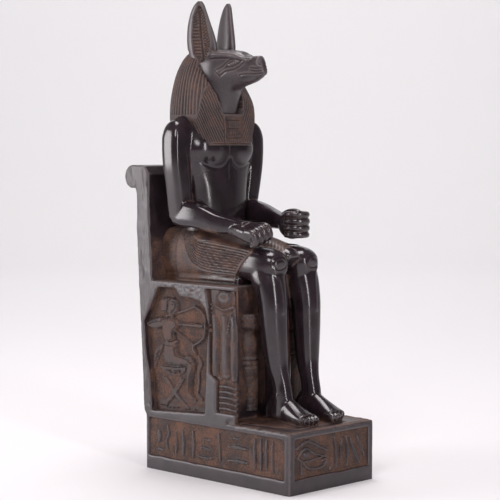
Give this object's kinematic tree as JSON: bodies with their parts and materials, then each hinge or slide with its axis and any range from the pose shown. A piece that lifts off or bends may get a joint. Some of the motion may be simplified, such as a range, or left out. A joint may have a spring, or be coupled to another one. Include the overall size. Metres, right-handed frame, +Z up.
{
  "type": "anubis statue",
  "caption": "Black stone statue of a seated jackal-headed figure on a carved block throne with a rolled backrest, over a plinth with sunk panels; it stands on its underside.",
  "frame": {"origin": "centre of the plinth's underside", "axes": "+Z up; the figure faces -Y and its right side is at -X"},
  "size_m": [0.0916, 0.163, 0.3297],
  "materials": {
    "black_stone": "polished near-black stone with brown patina in the recesses"
  },
  "bodies": {
    "root": {"anubis_statue": "black_stone"}
  },
  "joints": []
}
